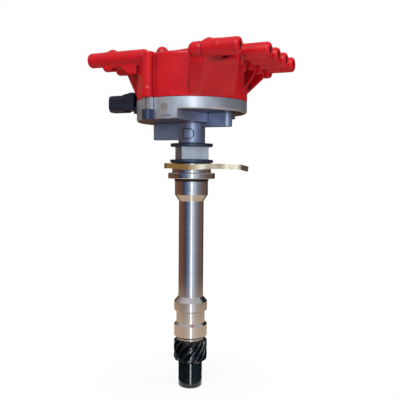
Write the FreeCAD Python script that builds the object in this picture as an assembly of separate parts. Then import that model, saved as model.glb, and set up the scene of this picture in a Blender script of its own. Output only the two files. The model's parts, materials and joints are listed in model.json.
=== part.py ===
import FreeCAD, Part
import math
import os

from FreeCAD import Vector

os.makedirs("parts", exist_ok=True)

# Ignition distributor of a V8 engine with a flat cap, whose towers point to both sides.
# Lengths are in millimetres and angles in degrees. The origin is the centre of the mounting
# flange's lower face. +Z runs up the shaft, +X points to the right bank of towers and +Y runs
# along the banks to the back.

# Housing, from the flange upwards
flange_r = 22.15
flange_t = 5.5
clamp_neck_r = 18.4
clamp_neck_h = 9.3
collar_low_r = 20.3
collar_high_r = 20.0
collar_t = 3.1
block_side = 25.9
block_h = 12.0
block_turn = 40.5
neck_r = 12.6
neck_h = 19.2
bowl_r = 51.6
bowl_wall = 3.6
bowl_floor_t = 3.0
bowl_step_h = 8.8
bowl_rim_h = 10.2
bowl_edge_round = 2.0
step_rim_x = 9.5
step_arm_x = 19.0
step_back_x = -17.0
arm_w = 10.0
arm_right_x = 35.2
arm_left_x = -35.2
arm_boss_r = 5.1
arm_right_drop = 3.9
arm_left_drop = 15.6
bearing_boss_r = 11.8
bearing_boss_h = 6.0
turned_edge = 0.9
neck_foot_round = 0.8
block_edge = 0.6
pad_w = 9.0
pad_h = 8.0
pad_round = 3.2
pad_groove = 0.9
pad_depth = 1.0
pad_turn = -81.0
pad_low = 4.8

# Housing, from the flange downwards
pilot_r = 15.7
pilot_h = 15.1
taper_h = 5.9
stem_r = 11.8
stem_h = 91.0
land_r = 15.8
land_rise_h = 4.8
land_upper_h = 8.0
land_lower_h = 10.7
groove_r = 13.6
groove_h = 9.9
groove_slope_h = 2.1
stem_end_chamfer = 1.3
stem_bore_r = 7.5

# Small housing parts
plug_x = -2.2
plug_r = 3.6
plug_t = 2.2
plug_drop = 8.9
plug_recess = 0.5
mark_w = 8.6
mark_h = 3.4
mark_depth = 0.9
mark_up = 0.2
vent_r = 4.2
vent_inset = 11.6
vent_turns = (32.0, 58.0)
vent_screen_t = 0.8
vent_hole_r = 0.55
vent_hole_ring = 2.4
ring_r = 1.4
ring_recess_r = 13.5
ring_seat_up = 0.2

# Cap screws and their posts
post_r = 5.3
post_stand = 2.4
post_turn = -110.0
post_turned_stand = 4.8
post_back_drop = 1.5
post_top_up = 0.8
post_web_w = 7.0
post_foot_r = 5.9
post_foot_h = 9.3
post_foot_round = 2.0
screw_r = 2.5
screw_head_r = 3.9
screw_head_h = 3.0
screw_seat_h = 8.6
screw_grip = 10.4
screw_end_gap = 1.0
driver_r = 4.1
driver_wall = 2.5
hex_flat = 2.6

# Cap
cap_h = 39.3
cap_wall = 3.4
cap_roof_t = 6.0
cap_edge_round = 2.6
cap_lip_t = 2.2
cap_lip_h = 1.5
post_edge_round = 2.0
tower_r = 6.9
tower_end_round = 2.8
tower_pitch = 23.8
tower_drop_right = 3.6
tower_drop_left = 0.6
tower_out_right = 36.4
tower_out_left = 37.9
tower_bare_right = 25.5
tower_bare_left = 20.0
tower_root_x = 25.0
tower_nose_round = 6.6
tower_bore_r = 3.3
tower_bore_depth = 4.5
collar_len = 8.0
collar_stand = 0.3
collar_round = 0.25
boot_stop_stand = 0.2
hump_r = 5.6
hump_up = 2.0
hump_back = 5.2
tab_past = 3.0
tab_back = 7.0
tab_down = 4.2
tab_w = 9.0
tab_round = 3.4
tab_side_round = 2.4
bank_edge_in = 3.0
bank_web_t = 8.0
bank_web_inset = 3.0
bank_end_t = 3.0
bank_end_drop = 7.4
bank_end_foot_x = 46.0
bank_end_slope = 9.0
rib_t = 2.2
rib_foot_right = 8.4
rib_foot_left = 4.7
rib_edge_right = 62.0
rib_edge_left = 56.0
rib_edge_drop = 5.6
coil_stand = 7.4
coil_r = 7.15
coil_drop = 2.85
coil_out = 18.9
coil_sleeve_x = 38.0
coil_sleeve_round = 1.2
coil_nose_x = 24.6
coil_nose_r = 6.1
coil_nose_round = 5.6
coil_groove_r = 5.2
coil_groove_w = 1.6
coil_hump_up = 1.3
coil_bare = 18.0
boot_room = 2.2
skirt_h = 25.8
skirt_back = (24.0, -20.0)
skirt_foot_turns = (-68.0, -57.0, -18.0, -6.0)
skirt_foot_in = 1.2
skirt_top = [(25.5, -1.0), (40.0, -2.5), (64.0, 12.0), (60.0, 39.0)]
skirt_steps = 5
ridge_r = 4.2
ridge_up = 2.2
dome_x = -11.6
dome_y = -37.5
dome_r = 5.4
dome_up = 1.2
seal_w = 1.6
seal_t = 1.2
seal_inset = 2.6

# Conductors in the cap
electrode_ring = 30.5
electrode_r = 2.2
electrode_drop = 16.0
electrode_boss_r = 4.2
electrode_boss_h = 8.5
lead_w = 3.0
lead_t = 1.6
lead_lift = 2.4
lead_turn_x = 42.0
coil_lead_out_y = -38.0
coil_lead_turn = (22.0, -44.0)
coil_lead_past = 3.0
terminal_r = 2.0
terminal_head_t = 2.4
brush_r = 2.4
brush_round = 1.0
brush_boss_r = 5.4
brush_boss_h = 9.0
brush_travel = 1.5
spring_wire_r = 0.28
spring_turns = 6
spring_room = 4.7

# Shaft and what turns with it
shaft_r = 6.2
bushing_t = 2.8
bushing_upper_h = 30.0
bushing_lower_h = 26.0
bushing_inset = 0.6
washer_count = 3
washer_t = 0.8
washer_r = 13.2
gear_tip_r = 15.9
gear_root_r = 11.9
gear_h = 21.8
gear_teeth = 13
gear_slices = 6
gear_helix = 36.0
gear_tip_share = 0.3
gear_root_share = 0.66
gear_edge = 1.3
hub_r = 11.35
hub_h = 24.2
hub_chamfer = 1.0
pin_r = 2.4
pin_wall = 1.1
pin_inset = 0.3
pin_below = 13.0
pin_turn = 24.0
slot_w = 5.2
slot_turn = 0.0
slot_depth = 9.0
circlip_t = 1.2
circlip_r = 8.4
circlip_depth = 0.8
circlip_gap = 7.4
wheel_hub_r = 9.5
wheel_gap = 1.5
wheel_r = 24.6
wheel_t = 1.2
wheel_skirt_h = 6.5
wheel_window = 180.0
rotor_r = 20.5
rotor_base_t = 2.8
rotor_waist_r = 13.5
rotor_neck_r = 9.0
rotor_h = 19.0
rotor_arm_w = 12.0
rotor_arm_t = 3.0
rotor_arm_reach = 25.0
rotor_arm_round = 1.5
rotor_edge = 0.8
rotor_rib_t = 3.2
rotor_rib_inset = 1.0
blade_w = 7.0
blade_t = 1.0
blade_tail = 4.5
blade_round = 0.8
blade_tail_round = 2.0
rotor_screw_x = 16.5
rotor_screw_r = 1.6
rotor_screw_head_r = 2.9
rotor_screw_head_h = 1.8

# Sensor
sensor_y = -11.0
sensor_w = 22.0
sensor_base_t = 3.4
sensor_h = 15.2
sensor_in_r = 18.5
sensor_in_x = -16.65
sensor_out_inset = 7.6
sensor_slot_play = 1.2
neck_w = 14.0
neck_low = 1.2
neck_t = 5.4
neck_in = 4.0
shell_w = 16.0
shell_gap = 0.6
shell_len = 12.4
shell_slope_len = 5.3
shell_slope_h = 5.0
shell_low = -6.6
shell_top = 9.9
shell_ridge = 0.8
shell_round = 0.8
shell_edge_round = 1.5
socket_w = 17.0
socket_h = 16.2
socket_wall = 1.7
socket_len = 15.4
socket_depth = 12.0
socket_round = 5.0
latch_w = 6.0
latch_h = 1.8
latch_in = 10.4
latch_len = 6.5
lug_w = 4.0
lug_h = 3.0
lug_len = 3.5
sensor_pin_r = 0.75
sensor_pin_pitch = 4.0
sensor_pin_inset = 3.0
sensor_pin_root = 2.0
sensor_screw_r = 1.5
sensor_screw_head_r = 2.8
sensor_screw_head_h = 1.8
sensor_screw_y = 8.0
sensor_screw_inset = 13.6
sensor_screw_grip = 2.0
gasket_t = 0.9

# Hold-down clamp, with its bends as (x, rise) points
clamp_t = 4.8
clamp_lift = 3.5
clamp_bends = [(-26.0, 0.3), (-17.0, 0.4), (-8.0, -0.4), (4.0, -0.6), (13.2, 0.2), (22.0, 0.4), (46.5, -0.2)]
clamp_tine_r = 25.6
clamp_tine_x = -24.5
clamp_tine_narrow = 1.0
clamp_tine_round = 2.5
clamp_fork_x = 12.1
clamp_fork_round = 9.0
clamp_root_x = 30.0
clamp_root_round = 6.0
clamp_arm_w = 21.0
clamp_arm_taper = 1.5
clamp_tip_x = 52.6
clamp_tip_drop = 1.8
clamp_tip_lean = 0.6
clamp_bolt_x = 36.5
clamp_bolt_r = 4.75
clamp_turn = 24.5

# Clearances
running = 0.03
slip = 0.1
clear = 0.35
spark_gap = 1.0
brush_gap = 0.3
past = 1.0
beyond = 200.0

# Heights that follow from the sizes above
z_flange = flange_t
z_collar_low = z_flange + clamp_neck_h
z_block = z_collar_low + collar_t
z_collar_high = z_block + block_h
z_neck = z_collar_high + collar_t
z_deep = z_neck + neck_h
z_shallow = z_deep + bowl_step_h
z_joint = z_shallow + bowl_rim_h
z_cap = z_joint + cap_h
z_roof = z_cap - cap_roof_t
z_coil = z_cap - coil_drop
z_deep_floor = z_deep + bowl_floor_t
z_shallow_floor = z_shallow + bowl_floor_t
z_boss = z_deep_floor + bearing_boss_h
z_ring = ring_seat_up - 2 * ring_r
z_pilot = -pilot_h
z_stem = z_pilot - taper_h
z_rise = z_stem - stem_h
z_land_upper = z_rise - land_rise_h
z_groove_top = z_land_upper - land_upper_h
z_groove = z_groove_top - groove_slope_h
z_groove_low = z_groove - groove_h
z_land_lower = z_groove_low - groove_slope_h
z_land_end = z_land_lower - land_lower_h
z_stem_end = z_land_end - stem_end_chamfer
z_gear = z_stem_end - slip - washer_count * washer_t
z_hub = z_gear - gear_h
z_bottom = z_hub - hub_h
z_circlip = z_boss + slip
z_wheel_hub = z_circlip + circlip_t + wheel_gap
z_wheel = z_shallow_floor + wheel_gap + wheel_skirt_h
z_rotor = z_wheel + wheel_t
z_blade = z_rotor + rotor_h
z_lead = z_roof + lead_lift
bowl_in_r = bowl_r - bowl_wall
cap_in_r = bowl_r - cap_wall
bushing_r = shaft_r + running + bushing_t
ring_seat_r = ring_recess_r + 2 * ring_r + clear
z_brush = z_blade + blade_t + brush_gap
z_brush_top = z_lead - spring_room - brush_travel
z_shell = z_joint
socket_z = z_joint

# Places that follow from the bowl's radius
post_reach = bowl_r + post_stand
post_turned_r = bowl_r + post_turned_stand
vent_reach = bowl_r - vent_inset
coil_y = -bowl_r - coil_stand
coil_tip = bowl_r + coil_out
sensor_out_x = sensor_out_inset - bowl_r
sensor_screw_x = sensor_screw_inset - bowl_r
shell_in_x = -bowl_r - shell_gap
shell_slope_x = shell_in_x - shell_slope_len
shell_out_x = shell_in_x - shell_len
socket_x = shell_out_x - socket_len
latch_x = socket_x + latch_in
latch_end_x = latch_x + latch_len
sensor_pin_end_x = shell_out_x + sensor_pin_root


def ring(outer, inner, low, high):
    """An upright tube round the shaft."""
    tube = Part.makeCylinder(outer, high - low, Vector(0, 0, low))
    return tube.cut(Part.makeCylinder(inner, high - low, Vector(0, 0, low)))


def rod(radius, low, high, x=0.0, y=0.0):
    """An upright cylinder."""
    return Part.makeCylinder(radius, high - low, Vector(x, y, low))


def rod_x(radius, x_start, x_end, y, z):
    """A cylinder along X."""
    low = min(x_start, x_end)
    return Part.makeCylinder(radius, abs(x_end - x_start), Vector(low, y, z), Vector(1, 0, 0))


def block(x0, x1, y0, y1, z0, z1):
    """A box between two corners."""
    return Part.makeBox(x1 - x0, y1 - y0, z1 - z0, Vector(x0, y0, z0))


def around(angle, reach):
    """The point at an angle and a distance from the shaft."""
    turn = math.radians(angle)
    return reach * math.cos(turn), reach * math.sin(turn)


def outline(points, place):
    """A closed face through corner points (u, v) or (u, v, round radius)."""
    corners = [place(p[0], p[1]) for p in points]
    rounds = [p[2] if len(p) > 2 else 0.0 for p in points]
    ends = []
    edges = []
    for i, here in enumerate(corners):
        if rounds[i] == 0.0:
            ends.append((here, here))
            continue
        back = (corners[i - 1] - here).normalize()
        ahead = (corners[(i + 1) % len(corners)] - here).normalize()
        half = back.getAngle(ahead) / 2
        middle = (back + ahead).normalize()
        run = rounds[i] / math.tan(half)
        crown = here + middle * (rounds[i] / math.sin(half) - rounds[i])
        start = here + back * run
        end = here + ahead * run
        ends.append((start, end))
        edges.append(Part.Arc(start, crown, end).toShape())
    for i, (start, end) in enumerate(ends):
        before = ends[i - 1][1]
        if before.distanceToPoint(start) > 1e-6:
            edges.append(Part.LineSegment(before, start).toShape())
    return Part.Face(Part.Wire(Part.__sortEdges__(edges)))


def turned(points):
    """A solid of revolution round the shaft from (radius, height) corners."""
    face = outline(points, lambda r, z: Vector(r, 0, z))
    return face.revolve(Vector(0, 0, 0), Vector(0, 0, 1), 360)


def plate(points, low, high):
    """An upright prism from (x, y) corners."""
    face = outline(points, lambda x, y: Vector(x, y, low))
    return face.extrude(Vector(0, 0, high - low))


def side_plate(points, y0, y1):
    """A prism along Y from (x, z) corners."""
    face = outline(points, lambda x, z: Vector(x, y0, z))
    return face.extrude(Vector(0, y1 - y0, 0))


def end_plate(points, x0, x1):
    """A prism along X from (y, z) corners."""
    face = outline(points, lambda y, z: Vector(x0, y, z))
    return face.extrude(Vector(x1 - x0, 0, 0))


def turn(shape, angle, x=0.0, y=0.0):
    """A copy turned about an upright axis."""
    copy = shape.copy()
    copy.rotate(Vector(x, y, 0), Vector(0, 0, 1), angle)
    return copy


def lay(shape, side, y, z):
    """Lays a shape that was turned round Z along +X or -X, at a row and a height."""
    copy = shape.copy()
    copy.rotate(Vector(0, 0, 0), Vector(0, 1, 0), 90 * side)
    copy.translate(Vector(0, y, z))
    return copy


def joined(shapes):
    """One clean solid from overlapping shapes."""
    return shapes[0].fuse(shapes[1:]).removeSplitter()


def save(name, shapes):
    """Writes one sub-part, checked for closed solids."""
    group = shapes if isinstance(shapes, list) else [shapes]
    solids = [solid for shape in group for solid in shape.Solids]
    for solid in solids:
        if not solid.isValid() or solid.Volume <= 0:
            raise ValueError(name + " holds a solid that is not closed")
    result = solids[0] if len(solids) == 1 else Part.makeCompound(solids)
    result.exportStep("parts/" + name + ".step")
    print(name, len(solids), round(sum(solid.Volume for solid in solids)))


# Places that several pieces share
posts = [around(post_turn, post_reach), around(post_turn + 180, post_reach)]
vents = [around(angle, vent_reach) for angle in vent_turns]
rows = [(i - 1.5) * tower_pitch for i in range(4)]
banks = [(1, z_cap - tower_drop_right, bowl_r + tower_out_right, tower_bare_right),
         (-1, z_cap - tower_drop_left, bowl_r + tower_out_left, tower_bare_left)]
plug_towers = [(side, y, z, tip, tip - bare) for side, z, tip, bare in banks for y in rows]
post_feet = [z_deep, z_shallow - post_back_drop]
z_screw_seat = z_joint + screw_seat_h
z_sensor_neck = z_shallow_floor - bowl_floor_t + neck_low


def electrode_place(side, y):
    """The electrode that belongs to a tower: the nearest of eight round the rotor."""
    step = 45.0
    index = rows.index(y) - 1.5
    angle = index * step if side > 0 else 180.0 - index * step
    return around(angle, electrode_ring)


# Housing
def step_prism(shift, low, high):
    """The deep part of the bowl in plan, with its wall moved back by a distance."""
    far = bowl_r + post_r
    half = arm_w / 2
    slope = (step_arm_x - step_rim_x) / (bowl_r - half)
    rim = step_rim_x - slope * (far - bowl_r)
    corners = [(-far, -far), (rim - shift, -far), (step_arm_x - shift, -half),
               (step_arm_x - shift, half), (step_back_x - shift, far), (-far, far)]
    return plate(corners, low, high)


def post_web(x, y, low, high):
    """The neck of metal or plastic between a screw post and the round wall."""
    web = block(bowl_in_r, post_reach, -post_web_w / 2, post_web_w / 2, low, high)
    return turn(web, math.degrees(math.atan2(y, x)))


def bowl_outside():
    """The bowl without its hollow: shallow disc, deep half and screw bosses."""
    shallow = turned([(0, z_shallow), (bowl_r, z_shallow, bowl_edge_round), (bowl_r, z_joint), (0, z_joint)])
    deep = turned([(0, z_deep), (bowl_r, z_deep, bowl_edge_round), (bowl_r, z_joint), (0, z_joint)])
    deep = deep.common(step_prism(0, z_deep, z_joint))
    bosses = []
    for (x, y), foot in zip(posts, post_feet):
        cast = rod(post_r, foot, z_shallow, x, y)
        faced = rod(post_r, z_shallow, z_joint, x, y).common(rod(post_turned_r, z_shallow, z_joint))
        bosses += [cast, faced, post_web(x, y, foot, z_joint)]
    return joined([shallow, deep] + bosses)


def bowl_hollow():
    """The space inside the bowl."""
    upper = rod(bowl_in_r, z_shallow_floor, z_joint)
    lower = rod(bowl_in_r, z_deep_floor, z_joint).common(step_prism(bowl_wall, z_deep_floor, z_joint))
    return upper.fuse(lower)


def arm(x_end, low, high):
    """A side arm from the neck out to its round boss."""
    bar = block(min(0, x_end), max(0, x_end), -arm_w / 2, arm_w / 2, low, high)
    return bar.fuse(rod(arm_boss_r, low, high, x_end, 0))


def stem_outside():
    """Everything from the neck down to the end of the stem, turned or square."""
    inner = stem_bore_r
    profile = [(inner, z_stem_end), (land_r - stem_end_chamfer, z_stem_end), (land_r, z_land_end),
               (land_r, z_land_lower), (groove_r, z_groove_low), (groove_r, z_groove),
               (land_r, z_groove_top), (land_r, z_land_upper), (stem_r, z_rise), (stem_r, z_stem),
               (pilot_r, z_pilot), (pilot_r, z_ring), (ring_recess_r, z_ring),
               (ring_recess_r, ring_seat_up), (ring_seat_r, ring_seat_up), (ring_seat_r, 0),
               (flange_r, 0, turned_edge), (flange_r, z_flange, turned_edge),
               (clamp_neck_r, z_flange), (clamp_neck_r, z_collar_low),
               (collar_low_r, z_collar_low, turned_edge), (collar_low_r, z_block, turned_edge),
               (inner, z_block)]
    lower = turned(profile)
    upper = turned([(inner, z_collar_high), (collar_high_r, z_collar_high, turned_edge),
                    (collar_high_r, z_neck, turned_edge), (neck_r, z_neck, neck_foot_round),
                    (neck_r, z_deep_floor), (inner, z_deep_floor)])
    half = block_side / 2
    corners = [(-half, -half, block_edge), (half, -half, block_edge), (half, half, block_edge),
               (-half, half, block_edge)]
    square = plate(corners, z_block, z_collar_high)
    square = turn(square, block_turn).cut(rod(inner, z_block, z_collar_high))
    return lower, square, upper


def neck_pad_groove():
    """The groove round a flat-sided pad with one round end on the front of the neck."""
    low = z_neck + pad_low
    def shape(grow):
        reach = pad_w / 2 + grow
        high = pad_h / 2 + grow
        mid = low + pad_h / 2
        corner = pad_round + grow
        face = [(-reach, mid - high), (reach, mid - high, corner), (reach, mid + high, corner),
                (-reach, mid + high)]
        return side_plate(face, -neck_r - past, 0)
    skin = ring(neck_r + past, neck_r - pad_depth, low - past, low + pad_h + past)
    return turn(shape(pad_groove).cut(shape(0)).common(skin), pad_turn + 90)


def side_mark():
    """The shallow notch in the lower edge of the bowl's front."""
    reach = bowl_r - mark_depth
    low = z_deep + mark_up
    return block(-mark_w / 2, mark_w / 2, -bowl_r - past, -reach, low, low + mark_h)


def plug_rod():
    """The plug's cylinder in the front of the bowl's wall."""
    return Part.makeCylinder(plug_r, plug_t, Vector(plug_x, -bowl_r, z_joint - plug_drop), Vector(0, 1, 0))


def bowl_gate(gap, outer):
    """The gap in the bowl's wall for the sensor's neck, from a given reach to the wall's inside."""
    half = neck_w / 2 + gap
    inner = math.sqrt(bowl_in_r ** 2 - (abs(sensor_y) + half) ** 2)
    return block(-outer, -inner, sensor_y - half, sensor_y + half, z_sensor_neck - gap, z_joint)


def make_housing():
    lower, square, upper = stem_outside()
    bearing = rod(bearing_boss_r, z_deep, z_boss)
    right = arm(arm_right_x, z_deep - arm_right_drop, z_shallow_floor - bowl_floor_t / 2)
    left = arm(arm_left_x, z_deep - arm_left_drop, z_deep_floor - bowl_floor_t / 2)
    body = bowl_outside().fuse([right, left]).cut(bowl_hollow())
    body = body.fuse([bearing, lower, square, upper])
    cuts = [rod(stem_bore_r, z_stem_end, z_boss)]
    cuts.append(rod(bushing_r, z_boss - bushing_inset - bushing_upper_h, z_boss))
    cuts.append(rod(bushing_r, z_stem_end, z_stem_end + bushing_inset + bushing_lower_h))
    cuts.append(neck_pad_groove())
    cuts.append(side_mark())
    cuts.append(plug_rod())
    for x, y in vents:
        cuts.append(rod(vent_r, z_shallow, z_shallow_floor, x, y))
    seat = bowl_r - seal_inset
    cuts.append(ring(seat + seal_w / 2, seat - seal_w / 2, z_joint - seal_t, z_joint))
    for x, y in posts:
        cuts.append(rod(screw_r + running, z_joint - screw_grip, z_joint, x, y))
    cuts.append(bowl_gate(gasket_t, bowl_r + past))
    for y in (-sensor_screw_y, sensor_screw_y):
        cuts.append(rod(sensor_screw_r + running, z_deep_floor - sensor_screw_grip, z_deep_floor,
                        sensor_screw_x, sensor_y + y))
    return body.cut(cuts).removeSplitter()


save("base_housing", make_housing())
save("housing_plug", plug_rod().common(rod(bowl_r - plug_recess, z_deep, z_joint)))

screens = []
for x, y in vents:
    low = z_shallow_floor - vent_screen_t
    screen = rod(vent_r, low, z_shallow_floor, x, y)
    holes = [rod(vent_hole_r, low, z_shallow_floor, x, y)]
    for i in range(6):
        u, v = around(60 * i, vent_hole_ring)
        holes.append(rod(vent_hole_r, low, z_shallow_floor, x + u, y + v))
    screens.append(screen.cut(holes))
save("vent_screens", screens)

flange_ring = Part.makeTorus(ring_recess_r + ring_r, ring_r, Vector(0, 0, z_ring + ring_r))
save("flange_o_ring", flange_ring)

seal_mid = bowl_r - seal_inset
save("cap_seal", ring(seal_mid + seal_w / 2, seal_mid - seal_w / 2, z_joint - seal_t, z_joint))


# Bushings, washers, shaft and gear
upper_bushing = ring(bushing_r, shaft_r + running, z_boss - bushing_inset - bushing_upper_h,
                     z_boss - bushing_inset)
lower_bushing = ring(bushing_r, shaft_r + running, z_stem_end + bushing_inset,
                     z_stem_end + bushing_inset + bushing_lower_h)
save("upper_bushing", upper_bushing)
save("lower_bushing", lower_bushing)

washers = []
for i in range(washer_count):
    low = z_gear + i * washer_t
    washers.append(ring(washer_r, shaft_r, low, low + washer_t))
save("thrust_washers", washers)


def pin_bar(radius, length):
    """A cylinder through the gear's hub, across the shaft."""
    return turn(rod_x(radius, -length / 2, length / 2, 0, z_hub - pin_below), pin_turn)


def make_shaft():
    shaft = rod(shaft_r, z_bottom, z_wheel)
    groove = ring(shaft_r + past, shaft_r - circlip_depth, z_circlip, z_circlip + circlip_t)
    slot = block(-shaft_r, shaft_r, -slot_w / 2, slot_w / 2, z_bottom, z_bottom + slot_depth)
    return shaft.cut([groove, turn(slot, slot_turn), pin_bar(pin_r, 4 * hub_r)])


save("shaft", make_shaft())

clip = ring(circlip_r, shaft_r - circlip_depth, z_circlip, z_circlip + circlip_t)
clip = clip.cut(block(0, circlip_r, -circlip_gap / 2, circlip_gap / 2, z_circlip, z_circlip + circlip_t))
save("shaft_circlip", clip)


def tooth_wire(angle, height):
    """The gear's outline at one height, turned by an angle."""
    points = []
    pitch = 360.0 / gear_teeth
    for i in range(gear_teeth):
        centre = angle + i * pitch
        tip = gear_tip_share * pitch / 2
        root = gear_root_share * pitch / 2
        for turn_by, radius in ((-root, gear_root_r), (-tip, gear_tip_r), (tip, gear_tip_r),
                                (root, gear_root_r)):
            x, y = around(centre + turn_by, radius)
            points.append(Vector(x, y, height))
    return Part.makePolygon(points + [points[0]])


def make_gear():
    twist = math.degrees(gear_h * math.tan(math.radians(gear_helix)) / ((gear_tip_r + gear_root_r) / 2))
    wires = []
    for i in range(gear_slices + 1):
        share = i / gear_slices
        wires.append(tooth_wire(twist * share, z_hub + gear_h * share))
    toothed = Part.makeLoft(wires, True, True)
    blank = turned([(0, z_hub), (gear_root_r, z_hub), (gear_tip_r, z_hub + 2 * gear_edge),
                    (gear_tip_r, z_gear, gear_edge), (0, z_gear)])
    return toothed.common(blank).cut(rod(shaft_r, z_hub, z_gear))


save("drive_gear", make_gear())

gear_hub = turned([(shaft_r, z_bottom), (hub_r - hub_chamfer, z_bottom), (hub_r, z_bottom + hub_chamfer),
                   (hub_r, z_hub), (shaft_r, z_hub)])
save("gear_hub", gear_hub.cut(pin_bar(pin_r, 4 * hub_r)))

roll_pin = pin_bar(pin_r, 2 * (hub_r - pin_inset)).cut(pin_bar(pin_r - pin_wall, 4 * hub_r))
save("gear_roll_pin", roll_pin)


# Shutter wheel and rotor
save("shutter_hub", ring(wheel_hub_r, shaft_r, z_wheel_hub, z_wheel))


def make_wheel():
    disc = rod(wheel_r, z_wheel, z_rotor)
    skirt = ring(wheel_r, wheel_r - wheel_t, z_wheel - wheel_skirt_h, z_wheel)
    window = block(0, 2 * wheel_r, -wheel_r * 2, wheel_r * 2, z_wheel - wheel_skirt_h, z_wheel)
    skirt = skirt.cut(turn(window, 180 - wheel_window))
    holes = [rod(rotor_screw_r, z_wheel, z_rotor, x, 0) for x in (-rotor_screw_x, rotor_screw_x)]
    return disc.fuse(skirt).cut(holes)


save("shutter_wheel", make_wheel())

blade_reach = electrode_ring - electrode_r - spark_gap


def make_rotor():
    top = z_blade - rotor_arm_t
    body = turned([(0, z_rotor), (rotor_r, z_rotor), (rotor_r, z_rotor + rotor_base_t, rotor_edge),
                   (rotor_waist_r, z_rotor + rotor_base_t), (rotor_neck_r, top),
                   (rotor_neck_r, z_blade, rotor_edge), (0, z_blade)])
    half = rotor_arm_w / 2
    outer = rotor_arm_reach
    bar = plate([(0, -half), (outer, -half, rotor_arm_round), (outer, half, rotor_arm_round), (0, half)],
                top, z_blade)
    rib = side_plate([(0, z_rotor), (rotor_r - rotor_rib_inset, z_rotor), (outer - rotor_rib_inset, top),
                      (0, top)], -rotor_rib_t / 2, rotor_rib_t / 2)
    holes = []
    for x in (-rotor_screw_x, rotor_screw_x):
        holes.append(rod(rotor_screw_r, z_rotor, top, x, 0))
        holes.append(rod(rotor_screw_head_r + slip, z_rotor + rotor_base_t, top, x, 0))
    return body.fuse([bar, rib]).cut(holes).removeSplitter()


save("rotor", make_rotor())

half = blade_w / 2
blade = plate([(-blade_tail, -half, blade_tail_round), (blade_reach, -half, blade_round),
               (blade_reach, half, blade_round), (-blade_tail, half, blade_tail_round)],
              z_blade, z_blade + blade_t)
save("rotor_blade", blade)

rotor_screws = []
for x in (-rotor_screw_x, rotor_screw_x):
    seat = z_rotor + rotor_base_t
    shank = rod(rotor_screw_r, z_wheel, seat, x, 0)
    head = rod(rotor_screw_head_r, seat, seat + rotor_screw_head_h, x, 0)
    rotor_screws.append(shank.fuse(head).removeSplitter())
save("rotor_screws", rotor_screws)


# Cap conductors
def bar_between(start, end, width, low, high):
    """A flat bar with round ends between two points in plan."""
    run = math.hypot(end[0] - start[0], end[1] - start[1])
    angle = math.degrees(math.atan2(end[1] - start[1], end[0] - start[0]))
    bar = block(0, run, -width / 2, width / 2, low, high)
    bar.rotate(Vector(0, 0, 0), Vector(0, 0, 1), angle)
    bar.translate(Vector(start[0], start[1], 0))
    ends = [rod(width / 2, low, high, x, y) for x, y in (start, end)]
    return bar.fuse(ends)


def lead_path(side, y):
    """The corners of one plug conductor, from its electrode to its tower."""
    return [electrode_place(side, y), (side * lead_turn_x, y)]


def trim_end(shape, side, x_limit):
    """Cuts a conductor square at its terminal."""
    low = x_limit if side > 0 else -beyond
    high = beyond if side > 0 else x_limit
    return shape.cut(block(low, high, -beyond, beyond, z_roof, z_cap))


electrodes = []
plug_leads = []
terminals = []
for side, y, z, tip, shoulder in plug_towers:
    ex, ey = electrode_place(side, y)
    electrodes.append(rod(electrode_r, z_roof - electrode_drop, z_lead, ex, ey))
    path = lead_path(side, y)
    lead = bar_between(path[0], path[1], lead_w, z_lead, z_lead + lead_t)
    plug_leads.append(trim_end(lead, side, side * lead_turn_x))
    stop = side * (tip - tower_bore_depth)
    stud = rod_x(terminal_r, side * lead_turn_x, stop, y, z)
    head = rod_x(tower_bore_r, stop, stop + side * terminal_head_t, y, z)
    terminals.append(stud.fuse(head).removeSplitter())
save("cap_electrodes", electrodes)
save("plug_leads", plug_leads)
save("plug_terminals", terminals)

coil_lead_end = coil_nose_x + coil_nose_r + coil_lead_past
coil_path = [(0, 0), (0, coil_lead_out_y), coil_lead_turn, (coil_lead_end, coil_y)]
coil_lead = joined([bar_between(coil_path[i], coil_path[i + 1], lead_w, z_lead, z_lead + lead_t)
                    for i in range(len(coil_path) - 1)])
coil_lead = trim_end(coil_lead, 1, coil_lead_end)
save("coil_lead", coil_lead)

coil_stop = coil_tip - tower_bore_depth
coil_stud = rod_x(terminal_r, coil_lead_end, coil_stop, coil_y, z_coil)
coil_head = rod_x(tower_bore_r, coil_stop, coil_stop + terminal_head_t, coil_y, z_coil)
coil_terminal = coil_stud.fuse(coil_head).removeSplitter()
save("coil_terminal", coil_terminal)

brush = turned([(0, z_brush), (brush_r, z_brush, brush_round), (brush_r, z_brush_top), (0, z_brush_top)])
save("carbon_brush", brush)


def make_spring():
    low = z_brush_top + spring_wire_r
    high = z_lead - spring_wire_r
    radius = brush_r - spring_wire_r - slip
    helix = Part.makeHelix((high - low) / spring_turns, high - low, radius)
    helix.translate(Vector(0, 0, low))
    start = helix.Edges[0].Vertexes[0].Point
    across = Part.Wire(Part.makeCircle(spring_wire_r, start, Vector(0, 1, 0)))
    return Part.Wire(helix.Edges).makePipeShell([across], True, True)


save("brush_spring", make_spring())


# Cap
def collar(side, shoulder, y, z, radius, up):
    """The ring, the hump on top and the tab under a tower, and the low step where its boot stops."""
    inner = shoulder - collar_len
    band = turned([(0, inner), (radius + collar_stand, inner, collar_round),
                   (radius + collar_stand, shoulder, collar_round), (0, shoulder)])
    stop = rod_x(radius + boot_stop_stand, side * inner, side * (shoulder + tab_past), y, z)
    crest = Vector(side * (shoulder - hump_back), y, z + radius + up - hump_r)
    low = z - radius - tab_down
    tab = side_plate([(side * (shoulder + tab_past), z), (side * (shoulder + tab_past), low, tab_round),
                      (side * (shoulder - tab_back), low, tab_round), (side * (shoulder - tab_back), z)],
                     y - tab_w / 2, y + tab_w / 2)
    ends = sorted((side * (shoulder + tab_past), side * (shoulder - tab_back)))
    mask = end_plate([(y - tab_w / 2, low, tab_side_round), (y + tab_w / 2, low, tab_side_round),
                      (y + tab_w / 2, z), (y - tab_w / 2, z)], ends[0], ends[1])
    return [lay(band, side, y, z), stop, Part.makeSphere(hump_r, crest), tab.common(mask)]


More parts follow.
